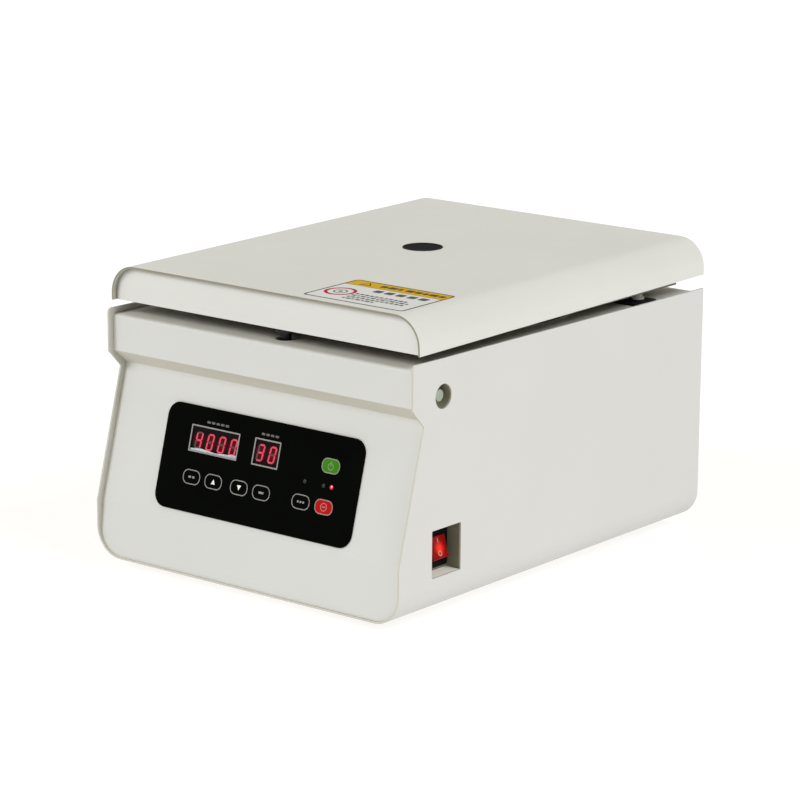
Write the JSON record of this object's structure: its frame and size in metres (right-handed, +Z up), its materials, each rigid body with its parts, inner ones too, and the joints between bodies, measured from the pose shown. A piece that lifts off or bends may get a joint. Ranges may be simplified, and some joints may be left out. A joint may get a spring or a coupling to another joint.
{
  "type": "benchtop centrifuge",
  "caption": "Low-speed bench centrifuge: folded steel cabinet, hinged arched lid, sloping keypad with lit displays, angle rotor in a steel bowl, side power rocker and lid release rod.",
  "frame": {"origin": "on the bench, under the middle of the whole closed object", "axes": "+X to the user's right as they face the keypad, +Y to the back, +Z up; the keypad faces -Y"},
  "size_m": [0.3018, 0.3856, 0.2383],
  "materials": {
    "cabinet_paint": "fine-textured satin powder coat, warm off-white",
    "zinc_steel": "zinc-plated sheet and bar",
    "screw_steel": "nickel-plated pan-head screws",
    "bright_steel": "ground bright steel",
    "bowl_steel": "spun stainless steel",
    "black_rubber": "moulded black rubber",
    "motor_paint": "dark grey enamel",
    "copper": "varnished copper windings",
    "overlay_film": "black printed keypad film",
    "display_red": "seven-segment display, lit red",
    "lamp_lens": "moulded lamp lenses",
    "board_green": "glass-fibre circuit board",
    "black_plastic": "black moulded plastic",
    "capacitor_sleeve": "shrunk film sleeve",
    "dark_aluminium": "black anodised",
    "rotor_aluminium": "turned aluminium",
    "recess_paint": "satin paint",
    "rocker_red": "translucent red, lit from inside",
    "rod_acrylic": "milky translucent acrylic",
    "white_nylon": "natural nylon",
    "liner_plastic": "vacuum-formed warm grey",
    "olive_primer": "dull olive primer",
    "window_clear": "polished clear pane with a blue tint",
    "label_film": "white printed film",
    "black_steel": "blackened steel"
  },
  "bodies": {
    "cabinet": {"outer_shell": "cabinet_paint", "front_panel": "cabinet_paint", "top_deck": "cabinet_paint", "rear_panel": "cabinet_paint", "case_screws": "screw_steel", "rubber_feet": "black_rubber", "chamber_bowl": "bowl_steel", "chamber_gasket": "black_rubber", "shaft_seal": "black_rubber", "motor_plate": "zinc_steel", "rubber_mounts": "black_rubber", "motor_housing": "motor_paint", "motor_stator": "copper", "motor_bearings": "bright_steel", "keypad_overlay": "overlay_film", "control_board": "board_green", "speed_display": "display_red", "time_display": "display_red", "indicator_lamps": "lamp_lens", "tactile_switches": "black_plastic", "drive_board": "board_green", "heat_sink": "dark_aluminium", "filter_capacitors": "capacitor_sleeve", "power_inlet": "black_plastic", "fuse_holder": "black_plastic", "switch_recess": "recess_paint", "switch_housing": "black_plastic", "lock_bracket": "zinc_steel", "lock_solenoid": "motor_paint", "rod_guide": "olive_primer", "rod_spring": "bright_steel", "hinge_base": "zinc_steel", "hinge_pin": "bright_steel", "buffer_pads": "black_rubber", "lid_buffers": "white_nylon"},
    "lid": {"lid_shell": "cabinet_paint", "lid_front_plate": "cabinet_paint", "lid_rear_plate": "cabinet_paint", "lid_liner": "liner_plastic", "window_sleeve": "black_plastic", "window_glass": "window_clear", "notice_plate": "label_film", "lock_pin": "black_steel", "hinge_leaf": "zinc_steel"},
    "rotor": {"rotor_head": "rotor_aluminium", "tube_sleeves": "rotor_aluminium", "rotor_nut": "black_steel", "drive_shaft": "bright_steel", "motor_armature": "motor_paint"},
    "power_switch": {"power_rocker": "rocker_red"},
    "release_button": {"release_rod": "rod_acrylic"},
    "lid_lock": {"lock_slide": "zinc_steel", "solenoid_plunger": "bright_steel"},
    "key_set": {"key_set": "overlay_film"},
    "key_up": {"key_up": "overlay_film"},
    "key_down": {"key_down": "overlay_film"},
    "key_confirm": {"key_confirm": "overlay_film"},
    "key_short": {"key_short": "overlay_film"},
    "key_stop": {"key_stop": "overlay_film"},
    "key_start": {"key_start": "overlay_film"}
  },
  "joints": [
    {"name": "lid_hinge", "type": "hinge", "parent": "cabinet", "child": "lid", "pos_m": [0, 0.1865, 0.1997], "axis": [-1, 0, 0], "range_deg": [0, 78]},
    {"name": "rotor_spin", "type": "hinge", "parent": "cabinet", "child": "rotor", "pos_m": [0, 0.022, 0.1], "axis": [0, 0, 1], "continuous": true},
    {"name": "power_rocker", "type": "hinge", "parent": "cabinet", "child": "power_switch", "pos_m": [0.137, -0.1362, 0.0545], "axis": [0, 1, 0], "range_deg": [0, 30]},
    {"name": "release_press", "type": "slide", "parent": "cabinet", "child": "release_button", "axis": [-1, 0, 0], "range_m": [0, 0.0095], "stiffness_N_per_m": 250, "springref_m": -0.006, "deforming": ["rod_spring"]},
    {"name": "lock_slide", "type": "slide", "parent": "cabinet", "child": "lid_lock", "axis": [-1, 0, 0], "range_m": [-0.0095, 0]},
    {"name": "key_set_press", "type": "slide", "parent": "cabinet", "child": "key_set", "axis": [0, 0.9653, -0.2612], "range_m": [0, 0.0004], "stiffness_N_per_m": 1500, "springref_m": -0.0001},
    {"name": "key_up_press", "type": "slide", "parent": "cabinet", "child": "key_up", "axis": [0, 0.9653, -0.2612], "range_m": [0, 0.0004], "stiffness_N_per_m": 1500, "springref_m": -0.0001},
    {"name": "key_down_press", "type": "slide", "parent": "cabinet", "child": "key_down", "axis": [0, 0.9653, -0.2612], "range_m": [0, 0.0004], "stiffness_N_per_m": 1500, "springref_m": -0.0001},
    {"name": "key_confirm_press", "type": "slide", "parent": "cabinet", "child": "key_confirm", "axis": [0, 0.9653, -0.2612], "range_m": [0, 0.0004], "stiffness_N_per_m": 1500, "springref_m": -0.0001},
    {"name": "key_short_press", "type": "slide", "parent": "cabinet", "child": "key_short", "axis": [0, 0.9653, -0.2612], "range_m": [0, 0.0004], "stiffness_N_per_m": 1500, "springref_m": -0.0001},
    {"name": "key_stop_press", "type": "slide", "parent": "cabinet", "child": "key_stop", "axis": [0, 0.9653, -0.2612], "range_m": [0, 0.0004], "stiffness_N_per_m": 1500, "springref_m": -0.0001},
    {"name": "key_start_press", "type": "slide", "parent": "cabinet", "child": "key_start", "axis": [0, 0.9653, -0.2612], "range_m": [0, 0.0004], "stiffness_N_per_m": 1500, "springref_m": -0.0001}
  ]
}
